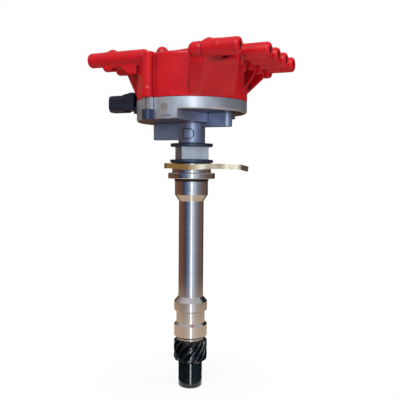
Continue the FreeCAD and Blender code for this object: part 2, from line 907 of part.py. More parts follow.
def plug_tower(side, y, z, tip, shoulder):
    """One plug tower, along X, with a rounded root on the roof."""
    tube = turned([(0, tower_root_x), (tower_r, tower_root_x, tower_nose_round),
                   (tower_r, tip, tower_end_round), (0, tip)])
    return [lay(tube, side, y, z)] + collar(side, shoulder, y, z, tower_r, hump_up)


def coil_tower():
    """The coil tower: a small rounded nose, a groove, and a sleeve with a low step for its boot."""
    groove = coil_sleeve_x - coil_groove_w
    body = turned([(0, coil_nose_x), (coil_nose_r, coil_nose_x, coil_nose_round), (coil_nose_r, groove),
                   (coil_groove_r, groove), (coil_groove_r, coil_sleeve_x),
                   (coil_r, coil_sleeve_x, coil_sleeve_round), (coil_r, coil_tip, tower_end_round),
                   (0, coil_tip)])
    stop = rod_x(coil_r + boot_stop_stand, coil_sleeve_x + coil_sleeve_round, coil_tip - coil_bare,
                 coil_y, z_coil)
    crest = Vector(coil_sleeve_x + hump_back, coil_y, z_coil + coil_r + coil_hump_up - hump_r)
    return [lay(body, 1, coil_y, z_coil), stop, Part.makeSphere(hump_r, crest)]


def bank(side, z, tip, bare):
    """The web that joins a bank's towers, its end plates and its ribs."""
    edge = tip - bare - bank_edge_in
    low = z - bank_web_t
    wide = rows[-1] + tower_r - bank_web_inset
    ends = sorted((side * tower_root_x, side * edge))
    shapes = [block(ends[0], ends[1], -wide, wide, low, z)]
    foot = low - bank_end_drop
    inner = bank_end_foot_x - bank_end_slope
    for y in (-wide, wide - bank_end_t):
        shapes.append(side_plate([(side * inner, low), (side * inner, foot), (side * bank_end_foot_x, foot),
                                  (side * (bank_end_foot_x + bank_end_slope), low)], y, y + bank_end_t))
    for y in (-tower_pitch, 0.0, tower_pitch):
        shapes.append(rib(side, y, low))
    return shapes


def rib(side, y, top):
    """A thin gusset under a bank, from its edge down to the wall."""
    wall = math.sqrt(bowl_r ** 2 - y ** 2)
    foot, edge = (rib_foot_right, rib_edge_right) if side > 0 else (rib_foot_left, rib_edge_left)
    corners = [(side * (wall - cap_wall), top), (side * (wall - cap_wall), z_joint + foot),
               (side * wall, z_joint + foot), (side * edge, top - rib_edge_drop), (side * edge, top)]
    return side_plate(corners, y - rib_t / 2, y + rib_t / 2)


def ridges():
    """Rounded ridges on the roof over the conductors."""
    z = z_cap + ridge_up - ridge_r
    shapes = []
    paths = [[electrode_place(side, y), (side * (tower_root_x + tower_r), y)]
             for side, y, level, tip, shoulder in plug_towers]
    for path in paths + [coil_path]:
        for start, end in zip(path, path[1:]):
            run = Vector(end[0] - start[0], end[1] - start[1], 0)
            shapes.append(Part.makeCylinder(ridge_r, run.Length, Vector(start[0], start[1], z), run))
        for x, y in path:
            shapes.append(Part.makeSphere(ridge_r, Vector(x, y, z)))
    keep = rod(beyond, z_lead, z_cap + ridge_up)
    return [shape.common(keep) for shape in shapes]


def spread(values, count):
    """The same values with more between them, evenly spaced."""
    return [a + (b - a) * i / count for a, b in zip(values, values[1:]) for i in range(count)] + [values[-1]]


def coil_skirt():
    """The leaning skirt under the coil tower, cut back where the coil lead's boot goes."""
    low = z_joint + skirt_h
    top_x = spread([x for x, y in skirt_top], skirt_steps)
    top_y = spread([coil_y + y for x, y in skirt_top], skirt_steps)
    foot = [around(angle, bowl_r - skirt_foot_in) for angle in spread(skirt_foot_turns, skirt_steps)]
    wires = []
    for rim, z in ((foot, z_joint), (list(zip(top_x, top_y)), low), (list(zip(top_x, top_y)), z_coil)):
        points = [Vector(x, y, z) for x, y in list(rim) + [skirt_back]]
        wires.append(Part.makePolygon(points + [points[0]]))
    upright = Part.Face(wires[1]).extrude(Vector(0, 0, z_coil - low))
    boot = rod_x(coil_r + boot_room, coil_tip - coil_bare, beyond, coil_y, z_coil)
    return [Part.makeLoft(wires[:2], True, True).cut(boot), upright.cut(boot)]


def cap_outside():
    """The cap's outer form as a list of overlapping solids."""
    shell = turned([(0, z_joint), (bowl_r, z_joint), (bowl_r, z_cap, cap_edge_round), (0, z_cap)])
    shapes = [shell]
    for x, y in posts:
        top = z_cap + post_top_up
        foot = z_joint + post_foot_h
        column = [(0, z_joint), (post_foot_r, z_joint), (post_foot_r, foot, post_foot_round), (post_r, foot),
                  (post_r, top, post_edge_round), (0, top)]
        shapes.append(turned(column))
        shapes[-1].translate(Vector(x, y, 0))
        shapes.append(post_web(x, y, z_joint, z_cap - cap_edge_round))
    for side, y, z, tip, shoulder in plug_towers:
        shapes += plug_tower(side, y, z, tip, shoulder)
    for side, z, tip, bare in banks:
        shapes += bank(side, z, tip, bare)
    shapes += coil_tower() + coil_skirt() + ridges()
    shapes.append(Part.makeSphere(dome_r, Vector(dome_x, dome_y, z_cap + dome_up)))
    return joined(shapes)


def cap_hollow():
    """The space inside the cap, with its electrode and brush bosses left standing."""
    space = rod(cap_in_r, z_joint, z_roof)
    solid = [rod(driver_r + driver_wall, z_joint, z_roof, x, y) for x, y in posts]
    for side, y, z, tip, shoulder in plug_towers:
        ex, ey = electrode_place(side, y)
        solid.append(rod(electrode_boss_r, z_roof - electrode_boss_h, z_roof, ex, ey))
    solid.append(rod(brush_boss_r, z_roof - brush_boss_h, z_roof))
    return space.cut(solid)


def make_cap():
    cap = cap_outside().cut(cap_hollow())
    lip_r = bowl_in_r - slip
    lip = ring(lip_r, lip_r - cap_lip_t, z_joint - cap_lip_h, z_joint)
    lip = lip.fuse(ring(cap_in_r + slip, lip_r - cap_lip_t, z_joint, z_joint + cap_lip_t))
    half = sensor_w / 2 + clear
    lip = lip.cut(block(-bowl_r, -bowl_in_r / 2, sensor_y - half, sensor_y + half,
                        z_joint - cap_lip_h, z_joint))
    cap = cap.fuse(lip)
    cuts = []
    for side, y, z, tip, shoulder in plug_towers:
        cuts.append(rod_x(tower_bore_r, side * (tip - tower_bore_depth), side * (tip + past), y, z))
    cuts.append(rod_x(tower_bore_r, coil_stop, coil_tip + past, coil_y, z_coil))
    cuts += terminals + plug_leads + electrodes + [coil_lead, coil_terminal]
    cuts.append(rod(brush_r + slip, z_roof - brush_boss_h, z_lead))
    for x, y in posts:
        cuts.append(rod(driver_r, z_screw_seat, z_cap + post_top_up + past, x, y))
        cuts.append(rod(screw_r + slip, z_joint, z_screw_seat, x, y))
    return cap.cut(cuts).removeSplitter()


save("distributor_cap", make_cap())

cap_screws = []
for x, y in posts:
    shank = rod(screw_r, z_joint - screw_grip + screw_end_gap, z_screw_seat, x, y)
    head = rod(screw_head_r, z_screw_seat, z_screw_seat + screw_head_h, x, y)
    wrench = [around(60 * i, hex_flat / math.cos(math.radians(30))) for i in range(6)]
    socket = plate([(x + u, y + v) for u, v in wrench], z_screw_seat + screw_head_h / 2,
                   z_screw_seat + screw_head_h)
    cap_screws.append(shank.fuse(head).removeSplitter().cut(socket))
save("cap_screws", cap_screws)


# Sensor
half_neck = neck_w / 2


def socket_section(inset):
    """The connector mouth's corners in (y, z), set in by a wall."""
    wide = socket_w / 2 - inset
    high = socket_h / 2 - inset
    corner = socket_round - inset
    return [(sensor_y - wide, socket_z - high, corner), (sensor_y + wide, socket_z - high, corner),
            (sensor_y + wide, socket_z + high, corner), (sensor_y - wide, socket_z + high, corner)]


def sensor_shell():
    """The connector outside the bowl: block, ridge, mouth, latch and lug."""
    wide = shell_w / 2
    low = z_shell + shell_low
    top = z_shell + shell_top
    shell = side_plate([(shell_in_x, low, shell_round), (shell_out_x, low, shell_edge_round),
                        (shell_out_x, top - shell_slope_h, shell_round),
                        (shell_slope_x, top, shell_edge_round),
                        (shell_in_x, top, shell_round)], sensor_y - wide, sensor_y + wide)
    ridge = block(shell_out_x, shell_in_x, sensor_y - wide - shell_ridge, sensor_y + wide + shell_ridge,
                  low, z_shell)
    barrel = end_plate(socket_section(0), socket_x, shell_out_x + past)
    lid = socket_z + socket_h / 2
    latch = side_plate([(latch_x, lid - past), (latch_x, lid), (latch_end_x, lid + latch_h),
                        (latch_end_x, lid - past)], sensor_y - latch_w / 2, sensor_y + latch_w / 2)
    lug = block(shell_in_x - lug_len, shell_in_x, sensor_y - lug_w / 2, sensor_y + lug_w / 2,
                low - lug_h, low)
    return [shell, ridge, barrel, latch, lug]


def make_sensor():
    half = sensor_w / 2
    foot = block(sensor_out_x, sensor_in_x, sensor_y - half, sensor_y + half, z_deep_floor,
                 z_deep_floor + sensor_h)
    foot = foot.cut([rod(sensor_in_r, z_deep_floor, z_joint)])
    foot = foot.common(rod(bowl_in_r - cap_lip_t - clear, z_deep_floor, z_joint))
    neck = block(shell_in_x, sensor_out_x + neck_in, sensor_y - half_neck, sensor_y + half_neck,
                 z_sensor_neck, z_sensor_neck + neck_t)
    body = joined([foot, neck] + sensor_shell())
    floor = z_deep_floor + sensor_base_t
    cuts = [ring(wheel_r + sensor_slot_play, wheel_r - wheel_t - sensor_slot_play, floor, z_joint),
            end_plate(socket_section(socket_wall), socket_x, socket_x + socket_depth)]
    for y in (-sensor_screw_y, sensor_screw_y):
        cuts.append(rod(sensor_screw_r + slip, z_deep_floor, z_joint, sensor_screw_x, sensor_y + y))
        cuts.append(rod(sensor_screw_head_r + slip, floor, z_joint, sensor_screw_x, sensor_y + y))
    return body.cut(cuts + sensor_pins).removeSplitter()


sensor_pins = []
for i in (-1, 0, 1):
    sensor_pins.append(rod_x(sensor_pin_r, socket_x + sensor_pin_inset, sensor_pin_end_x,
                             sensor_y + i * sensor_pin_pitch, socket_z))
save("sensor_pins", sensor_pins)
save("cam_sensor", make_sensor())

sensor_screws = []
for y in (-sensor_screw_y, sensor_screw_y):
    seat = z_deep_floor + sensor_base_t
    shank = rod(sensor_screw_r, z_deep_floor - sensor_screw_grip, seat, sensor_screw_x, sensor_y + y)
    head = rod(sensor_screw_head_r, seat, seat + sensor_screw_head_h, sensor_screw_x, sensor_y + y)
    sensor_screws.append(shank.fuse(head).removeSplitter())
save("sensor_screws", sensor_screws)

gasket = bowl_gate(gasket_t, bowl_r).common(ring(bowl_r, bowl_in_r, z_shallow, z_joint))
gasket = gasket.cut([block(shell_in_x, sensor_out_x, sensor_y - half_neck, sensor_y + half_neck,
                           z_sensor_neck, z_sensor_neck + neck_t),
                     ring(seal_mid + seal_w / 2, seal_mid - seal_w / 2, z_joint - seal_t, z_joint)])
save("sensor_gasket", gasket)


# Hold-down clamp
def clamp_strip():
    """The bent strip from the tines to the arm's tip, as wide as the fork."""
    low = z_flange + clamp_lift
    line = [Vector(x, -clamp_tine_r, low + rise) for x, rise in clamp_bends]
    raised = [point + Vector(0, 0, clamp_t) for point in line]
    under = Part.BSplineCurve()
    under.interpolate(line)
    over = Part.BSplineCurve()
    over.interpolate(raised)
    tip_low = Vector(clamp_tip_x, -clamp_tine_r, line[-1].z - clamp_tip_drop)
    tip_top = tip_low + Vector(clamp_tip_lean, 0, clamp_t)
    edges = [under.toShape(), over.toShape()]
    for start, end in ((line[-1], tip_low), (tip_low, tip_top), (tip_top, raised[-1]), (raised[0], line[0])):
        edges.append(Part.LineSegment(start, end).toShape())
    face = Part.Face(Part.Wire(Part.__sortEdges__(edges)))
    return face.extrude(Vector(0, 2 * clamp_tine_r, 0))


def make_clamp():
    low = z_flange - clamp_tip_drop
    high = z_collar_high
    half = clamp_arm_w / 2
    far = clamp_tip_x + clamp_t
    upper = [(clamp_tine_x, clamp_tine_r - clamp_tine_narrow, clamp_tine_round), (0, clamp_tine_r),
             (clamp_fork_x, clamp_tine_r, clamp_fork_round), (clamp_root_x, half, clamp_root_round),
             (far, half - clamp_arm_taper)]
    lower = [(corner[0], -corner[1]) + corner[2:] for corner in reversed(upper)]
    eye = clamp_neck_r + clear
    mouth = block(-beyond, 0, -eye, eye, low, high)
    cuts = [mouth, rod(eye, low, high), rod(clamp_bolt_r, low, high, clamp_bolt_x, 0)]
    return turn(clamp_strip().common(plate(upper + lower, low, high)).cut(cuts), clamp_turn)


save("hold_down_clamp", make_clamp())
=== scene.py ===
# %% [markdown]
# # An ignition distributor, dressed for its portrait
#
# A distributor sends the ignition coil's spark to eight cylinders in turn. This one has a red
# moulded cap whose towers point to both sides, a cast aluminium housing with a long turned stem,
# a black gear at the bottom and a plated fork that clamps it to the engine. The frame from the
# construction model is loaded first, and everything here is set round it, in metres.

import json
import math

import bmesh
import bpy
from mathutils import Matrix, Vector


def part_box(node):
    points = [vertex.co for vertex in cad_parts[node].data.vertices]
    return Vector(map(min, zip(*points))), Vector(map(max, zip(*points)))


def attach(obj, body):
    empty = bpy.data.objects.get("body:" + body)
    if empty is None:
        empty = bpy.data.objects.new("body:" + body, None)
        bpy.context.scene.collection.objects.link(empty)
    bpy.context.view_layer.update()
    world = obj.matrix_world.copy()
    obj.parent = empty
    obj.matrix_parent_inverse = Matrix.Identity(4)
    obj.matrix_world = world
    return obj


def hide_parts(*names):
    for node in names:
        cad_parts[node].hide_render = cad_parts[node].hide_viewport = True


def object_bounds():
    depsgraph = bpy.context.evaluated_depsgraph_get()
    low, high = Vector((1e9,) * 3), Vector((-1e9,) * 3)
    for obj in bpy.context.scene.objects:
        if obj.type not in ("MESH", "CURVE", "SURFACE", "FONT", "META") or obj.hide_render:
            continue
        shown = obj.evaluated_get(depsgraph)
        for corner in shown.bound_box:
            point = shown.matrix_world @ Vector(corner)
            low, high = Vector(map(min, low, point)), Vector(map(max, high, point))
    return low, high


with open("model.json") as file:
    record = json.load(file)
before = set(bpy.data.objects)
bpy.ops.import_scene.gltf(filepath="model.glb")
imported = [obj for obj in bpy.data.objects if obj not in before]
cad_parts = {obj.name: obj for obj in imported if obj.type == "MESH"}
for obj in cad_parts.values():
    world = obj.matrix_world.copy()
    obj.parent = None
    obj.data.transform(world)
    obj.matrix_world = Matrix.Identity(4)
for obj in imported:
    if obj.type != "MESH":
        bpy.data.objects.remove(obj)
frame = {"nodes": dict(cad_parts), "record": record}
cad_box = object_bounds()
mm = 0.001

# %% [markdown]
# ## The camera
#
# The photograph was taken from a little over the flange, from the front and to the right, with a
# short telephoto lens. A camera could be turned by eye until the picture fits. But the turned
# edges of the stem are circles of known size, and the lens's place was worked out from them, so
# the camera is written as a place, a heading, a pitch and a small roll.

# %% Camera
CAMERA_PLACE = Vector((228.7, -483.1, 11.67)) * mm
CAMERA_HEADING = math.radians(24.45)
CAMERA_PITCH = math.radians(3.42)
CAMERA_ROLL = math.radians(0.46)
CAMERA_LENS = 50.7
SENSOR_WIDTH = 36.0
NEAREST_SEEN = 10 * mm


def make_camera():
    """A camera that looks level, then turns to its heading, tips down and rolls."""
    camera = bpy.data.objects.new("camera", bpy.data.cameras.new("camera"))
    bpy.context.scene.collection.objects.link(camera)
    camera.data.lens = CAMERA_LENS
    camera.data.sensor_width = SENSOR_WIDTH
    camera.data.clip_start = NEAREST_SEEN
    level = Matrix.Rotation(math.radians(90), 4, "X")
    turn = Matrix.Rotation(CAMERA_HEADING, 4, "Z") @ level
    camera.matrix_world = (Matrix.Translation(CAMERA_PLACE) @ turn
                           @ Matrix.Rotation(-CAMERA_PITCH, 4, "X") @ Matrix.Rotation(CAMERA_ROLL, 4, "Z"))
    bpy.context.scene.camera = camera
    return camera


camera = make_camera()
print("camera", [round(value, 4) for value in camera.location])

# %% [markdown]
# ## Small helpers for materials
#
# Materials are usually drawn as nodes with the mouse, and a script could spend four lines on each
# node to add, set and link it. One function does all that here, so that a material reads from top
# to bottom like a recipe. Colours are written as the eye sees them, as sRGB hex values, and
# another function turns them to the linear values that a shader wants. The rest are steps that
# most finishes share: a colour ramp, a change of range, a noise of a known size, a mix of two
# colours, and painted shade that darkens a colour in grooves and corners.

# %% Colour and node helpers


def linear(code):
    """An sRGB hex value as linear red, green, blue and alpha."""
    parts = [int(code[i:i + 2], 16) / 255 for i in (1, 3, 5)]
    return tuple(c / 12.92 if c <= 0.04045 else ((c + 0.055) / 1.055) ** 2.4 for c in parts) + (1.0,)


def add(tree, kind, inputs=None, **settings):
    """Adds one node with its settings, and fills or links its inputs."""
    made = tree.nodes.new(kind)
    for name, value in settings.items():
        setattr(made, name, value)
    for key, value in (inputs or {}).items():
        if isinstance(value, bpy.types.NodeSocket):
            tree.links.new(value, made.inputs[key])
        else:
            made.inputs[key].default_value = value
    return made


def new_material(name):
    """An empty node material with its output, and the Object coordinates that patterns use."""
    material = bpy.data.materials.new(name)
    material.use_nodes = True
    tree = material.node_tree
    tree.nodes.clear()
    output = add(tree, "ShaderNodeOutputMaterial")
    place = add(tree, "ShaderNodeTexCoord").outputs["Object"]
    return material, tree, output, place


def ramp(tree, factor, stops):
    """A colour ramp from (position, hex colour) stops."""
    made = add(tree, "ShaderNodeValToRGB", {"Fac": factor})
    band = made.color_ramp
    while len(band.elements) < len(stops):
        band.elements.new(0.5)
    for element, (position, code) in zip(band.elements, stops):
        element.position = position
        element.color = linear(code)
    return made.outputs["Color"]


def between(tree, value, low, high, to_low=0.0, to_high=1.0):
    """Maps a value from one range to another, held at the ends."""
    made = add(tree, "ShaderNodeMapRange", {"Value": value, "From Min": low, "From Max": high,
                                            "To Min": to_low, "To Max": to_high})
    return made.outputs["Result"]


def grain(tree, place, size, detail=3.0):
    """A noise whose lumps are about `size` metres across."""
    return add(tree, "ShaderNodeTexNoise", {"Vector": place, "Scale": 1.0 / size, "Detail": detail})


def mix(tree, factor, first, second):
    """The first colour where the factor is 0 and the second where it is 1."""
    return add(tree, "ShaderNodeMix", {"Factor": factor, "A": first, "B": second},
               data_type="RGBA").outputs["Result"]


# Painted shade: ambient occlusion darkens the colour where grooves and corners keep light out.
DARKEST_CORNER = 0.45
CORNER_SAMPLES = 8


def paint_corner_shade(tree, colour, dark, reach, clear=0.85):
    """A colour with painted shade in grooves and corners, up to the reach from them."""
    hollow = add(tree, "ShaderNodeAmbientOcclusion", {"Distance": reach}, samples=CORNER_SAMPLES)
    return mix(tree, between(tree, hollow.outputs["AO"], DARKEST_CORNER, clear), linear(dark), colour)


print("middle grey in linear light", round(linear("#808080")[0], 3))

# %% [markdown]
# ## Moulded and soft finishes
#
# The cap is a thermoset moulding, glossy because its mould was polished. Such a surface isn't
# perfectly flat: it has a faint orange peel a few millimetres wide, and handling dulls it in
# patches. The connector is glass-filled nylon, which is duller. Painted maps could hold all that,
# but noise needs no maps and fits any shape. So both are a plain Principled shader whose
# roughness and bump come from noise at those sizes, and whose colour is darker in corners, where
# little light gets in.

# %% Moulded plastic and rubber
DULL_PATCH = 14 * mm
CORNER_REACH = 5 * mm
CORNER_CLEAR = 0.97


def moulded(name, shade, dark, corner_shade, roughness, peel, peel_depth, index=1.5):
    """A moulded plastic: body colour, painted shade in corners, dulled patches and an orange peel."""
    material, tree, output, place = new_material(name)
    patches = grain(tree, place, DULL_PATCH)
    fine = grain(tree, place, peel)
    clouded = ramp(tree, patches.outputs["Fac"], [(0.3, dark), (0.6, shade)])
    body = paint_corner_shade(tree, clouded, corner_shade, CORNER_REACH, CORNER_CLEAR)
    dull = between(tree, patches.outputs["Fac"], 0.3, 0.7, roughness * 0.85, roughness * 1.2)
    bump = add(tree, "ShaderNodeBump", {"Height": fine.outputs["Fac"], "Strength": 0.15,
                                        "Distance": peel_depth})
    shader = add(tree, "ShaderNodeBsdfPrincipled", {
        "Base Color": body, "Roughness": dull, "IOR": index, "Normal": bump.outputs["Normal"]})
    tree.links.new(shader.outputs["BSDF"], output.inputs["Surface"])
    return material


# The third colour of each is its painted shade for grooves and corners.
red_moulding = moulded("polished_red_moulding", "#BE0F1A", "#B00C16", "#5A060E", 0.24, 2.5 * mm,
                       0.04 * mm, 1.38)
black_moulding = moulded("black_glass_filled_nylon", "#171A30", "#11132A", "#08080F", 0.40, 0.8 * mm,
                         0.04 * mm)
seal_rubber = moulded("nitrile_rubber", "#16161A", "#101014", "#08080A", 0.55, 0.6 * mm, 0.03 * mm)
carbon = moulded("pressed_carbon", "#1C1C1D", "#141415", "#08080A", 0.6, 0.3 * mm, 0.02 * mm)
print("moulded finishes", red_moulding.name, black_moulding.name, seal_rubber.name, carbon.name)

# %% [markdown]
# ## The housing: one casting, three surfaces
#
# The housing is a single aluminium casting, but it shows three finishes. The bowl's underside,
# the arms and the neck are as they were blasted after casting, grey and finely grained. Where they
# face down they get a painted brown-grey shade, for the dim light from below and the tan table
# they reflect. The two collars are darker, and so is what reaches out past the bowl's wall, like
# the feet of the screw posts. The wall and the square block were skimmed. Blasted and skimmed
# faces both get painted shade in their grooves and corners. The flange and everything below it
# were turned on a lathe, and turning leaves grooves that stretch reflections along the stem. The
# faces could be given three materials one by one, but a change in the construction model would
# then need them chosen again. So one material holds all three, and masks made from the height and
# the distance to the axis choose between them; the way a face points places the painted shade on
# faces that look down.

# %% Aluminium
TURNED_TOP = 14.0 * mm
WALL_FOOT = 53.0 * mm
WALL_RADIUS = 49.0 * mm
POSTS_REACH = 52.0 * mm
POSTS_FACED = 61.0 * mm
BLOCK_LOW = 18.2 * mm
BLOCK_HIGH = 29.7 * mm
COLLARS_TOP = 33.2 * mm
BLAST_GRAIN = 0.7 * mm
CAST_CLOUDS = 9 * mm
# The lathe's feed marks are 0.2 mm apart, too fine to show, so they are drawn 0.8 mm apart.
FEED_MARKS = 0.8 * mm
MARK_LENGTH = 50 * mm


def steps(tree, value, edge):
    """1 above an edge and 0 below it."""
    return add(tree, "ShaderNodeMath", {0: value, 1: edge}, operation="GREATER_THAN").outputs[0]


def inside(tree, value, low, high):
    """1 between two edges and 0 outside them."""
    return add(tree, "ShaderNodeMath", {0: steps(tree, value, low), 1: steps(tree, high, value)},
               operation="MULTIPLY").outputs[0]


def metal(tree, base, roughness, normal=None, anisotropy=0.0, tangent=None, metallic=1.0):
    """A bare metal, or a dull one that scatters light too, from sockets or values."""
    inputs = {"Base Color": base, "Metallic": metallic, "Roughness": roughness}
    if normal is not None:
        inputs["Normal"] = normal
    if anisotropy:
        inputs["Anisotropic"] = anisotropy
        inputs["Tangent"] = tangent
    return add(tree, "ShaderNodeBsdfPrincipled", inputs).outputs["BSDF"]


def housing_aluminium():
    """Cast, skimmed and turned aluminium in one material, chosen by place."""
    material, tree, output, place = new_material("cast_and_turned_aluminium")
    split = add(tree, "ShaderNodeSeparateXYZ", {"Vector": place})
    height = split.outputs["Z"]
    flat = add(tree, "ShaderNodeCombineXYZ", {"X": split.outputs["X"], "Y": split.outputs["Y"]})
    radius = add(tree, "ShaderNodeVectorMath", {0: flat.outputs[0]}, operation="LENGTH").outputs["Value"]

    blasted = grain(tree, place, BLAST_GRAIN, 4.0)
    clouds = grain(tree, place, CAST_CLOUDS)
    cast_colour = ramp(tree, clouds.outputs["Fac"], [(0.3, "#A8B4D0"), (0.7, "#BAC6E2")])
    cast_bump = add(tree, "ShaderNodeBump", {"Height": blasted.outputs["Fac"], "Strength": 0.3,
                                             "Distance": 0.06 * mm})
    collars = inside(tree, height, TURNED_TOP, COLLARS_TOP)
    darker = add(tree, "ShaderNodeMath", {0: collars, 1: steps(tree, radius, POSTS_REACH)},
                 operation="MAXIMUM").outputs[0]
    navy = mix(tree, darker, cast_colour, linear("#4C5670"))
    facing = add(tree, "ShaderNodeNewGeometry").outputs["Normal"]
    upward = add(tree, "ShaderNodeSeparateXYZ", {"Vector": facing}).outputs["Z"]
    # Painted shade: faces that look down are mixed to brown-grey, for the dim light from below and the tan
    # table they reflect, and grooves and corners get painted shade as well.
    down = between(tree, upward, -0.9, -0.5, 1.0, 0.0)
    cast_base = paint_corner_shade(tree, mix(tree, down, navy, linear("#5C4C44")), "#1C1F28", 1.5 * mm)
    cast = metal(tree, cast_base, 0.32, cast_bump.outputs["Normal"], metallic=0.82)

    rim_colour = ramp(tree, clouds.outputs["Fac"], [(0.3, "#C4CAD2"), (0.7, "#DEE3E8")])
    rim_bump = add(tree, "ShaderNodeBump", {"Height": blasted.outputs["Fac"], "Strength": 0.3,
                                            "Distance": 0.04 * mm})
    # The skimmed wall gets painted shade in its grooves and corners too.
    rim = metal(tree, paint_corner_shade(tree, rim_colour, "#3A3C44", 0.8 * mm), 0.34, rim_bump.outputs["Normal"],
                metallic=0.85)

    stretched = add(tree, "ShaderNodeVectorMath",
                    {0: place, 1: (1 / MARK_LENGTH, 1 / MARK_LENGTH, 1 / FEED_MARKS)}, operation="MULTIPLY")
    marks = add(tree, "ShaderNodeTexNoise", {"Vector": stretched.outputs[0], "Scale": 1.0, "Detail": 2.0})
    turned_colour = ramp(tree, marks.outputs["Fac"], [(0.3, "#D4D5D8"), (0.7, "#DEDFE2")])
    turned_rough = between(tree, marks.outputs["Fac"], 0.3, 0.7, 0.13, 0.18)
    turned_bump = add(tree, "ShaderNodeBump", {"Height": marks.outputs["Fac"], "Strength": 0.05,
                                               "Distance": 0.02 * mm})
    tangent = add(tree, "ShaderNodeTangent", direction_type="RADIAL", axis="Z")
    turned = metal(tree, turned_colour, turned_rough, turned_bump.outputs["Normal"], 0.5,
                   tangent.outputs["Tangent"])

    low = steps(tree, TURNED_TOP, height)
    faced = add(tree, "ShaderNodeMath", {0: steps(tree, POSTS_REACH, radius),
                                         1: steps(tree, height, POSTS_FACED)}, operation="MAXIMUM").outputs[0]
    wall = add(tree, "ShaderNodeMath", {0: steps(tree, height, WALL_FOOT),
                                        1: steps(tree, radius, WALL_RADIUS)},
               operation="MULTIPLY").outputs[0]
    wall = add(tree, "ShaderNodeMath", {0: wall, 1: faced}, operation="MULTIPLY").outputs[0]
    skimmed = add(tree, "ShaderNodeMath", {0: wall, 1: inside(tree, height, BLOCK_LOW, BLOCK_HIGH)},
                  operation="MAXIMUM").outputs[0]
    upper = add(tree, "ShaderNodeMixShader", {0: skimmed, 1: cast, 2: rim})
    whole = add(tree, "ShaderNodeMixShader", {0: low, 1: upper.outputs[0], 2: turned})
    tree.links.new(whole.outputs[0], output.inputs["Surface"])
    return material


aluminium = housing_aluminium()
print("housing finish", aluminium.name)

# %% [markdown]
# ## Steel, brass and bronze
#
# The small metal pieces are bright steel, spring steel, brass or sintered bronze, and the plug in
# the bowl's wall is a duller metal. Most of them sit inside, where a flat colour would do. They
# still get slight clouds and a fine bump, because they would show with the cap off, and one
# recipe for all of them is as quick to write as a plain one.

# %% Small metals


def plain_metal(name, light, dark, roughness, lump, depth):
    """A metal with slight clouds of colour and wear at the size given."""
    material, tree, output, place = new_material(name)
    clouds = grain(tree, place, lump)
    fine = grain(tree, place, lump / 6)
    colour = ramp(tree, clouds.outputs["Fac"], [(0.3, dark), (0.7, light)])
    rough = between(tree, clouds.outputs["Fac"], 0.3, 0.7, roughness * 1.15, roughness * 0.85)
    bump = add(tree, "ShaderNodeBump", {"Height": fine.outputs["Fac"], "Strength": 0.3, "Distance": depth})
    shader = metal(tree, colour, rough, bump.outputs["Normal"])
    tree.links.new(shader, output.inputs["Surface"])
    return material


bright_steel = plain_metal("bright_steel", "#C4C5C7", "#A9ABAE", 0.24, 4 * mm, 0.02 * mm)
spring_steel = plain_metal("spring_steel", "#8E9094", "#74767B", 0.3, 3 * mm, 0.02 * mm)
brass = plain_metal("cast_brass", "#D6B566", "#B8964B", 0.28, 4 * mm, 0.02 * mm)
bronze = plain_metal("sintered_bronze", "#A87B4A", "#8B6238", 0.42, 1.5 * mm, 0.05 * mm)
plug_metal = plain_metal("pressed_plug", "#CCBEBA", "#B6A8A4", 0.5, 3 * mm, 0.02 * mm)
print("small metals", len([bright_steel, spring_steel, brass, bronze, plug_metal]))

# %% [markdown]
# ## Black iron
#
# The gear is hardened iron, blackened and oiled, so it is nearly black but shines where light
# meets an edge. A dark metal alone reflects little and would lose that shine. A dark body that is
# only partly metallic, under a thin clear coat for the oil, keeps both.

# %% Black iron


def black_iron_finish():
    """Blackened, oiled iron: a dark body under a thin glossy film."""
    material, tree, output, place = new_material("black_oiled_iron")
    clouds = grain(tree, place, 5 * mm)
    fine = grain(tree, place, 0.5 * mm)
    colour = ramp(tree, clouds.outputs["Fac"], [(0.3, "#0A0D0F"), (0.7, "#1A2226")])
    rough = between(tree, clouds.outputs["Fac"], 0.3, 0.7, 0.16, 0.24)
    bump = add(tree, "ShaderNodeBump", {"Height": fine.outputs["Fac"], "Strength": 0.08,
                                        "Distance": 0.01 * mm})
    shader = add(tree, "ShaderNodeBsdfPrincipled", {
        "Base Color": colour, "Metallic": 0.35, "Roughness": rough, "Normal": bump.outputs["Normal"],
        "Coat Weight": 0.4, "Coat Roughness": 0.08})
    tree.links.new(shader.outputs["BSDF"], output.inputs["Surface"])
    return material


black_iron = black_iron_finish()
print("gear finish", black_iron.name)

# %% [markdown]
# ## The plated clamp
#
# The clamp is steel plated with zinc and dipped in a yellow chromate, which gives a pale straw
# colour that drifts over a centimetre or so. It runs to gold-brown at the tines, partly the
# chromate's own colour and partly painted shade, and the tip has a painted dark shadow. That could
# be painted on the mesh, but the next change of shape would lose the paint. So the finish measures
# the distance along the arm and changes its colour by that.

# %% Yellow zinc
CLAMP_TURN = math.radians(24.5)
TINES_FADE = (-4 * mm, 12 * mm)
TIP_SHADOW_FADE = (43 * mm, 47 * mm)


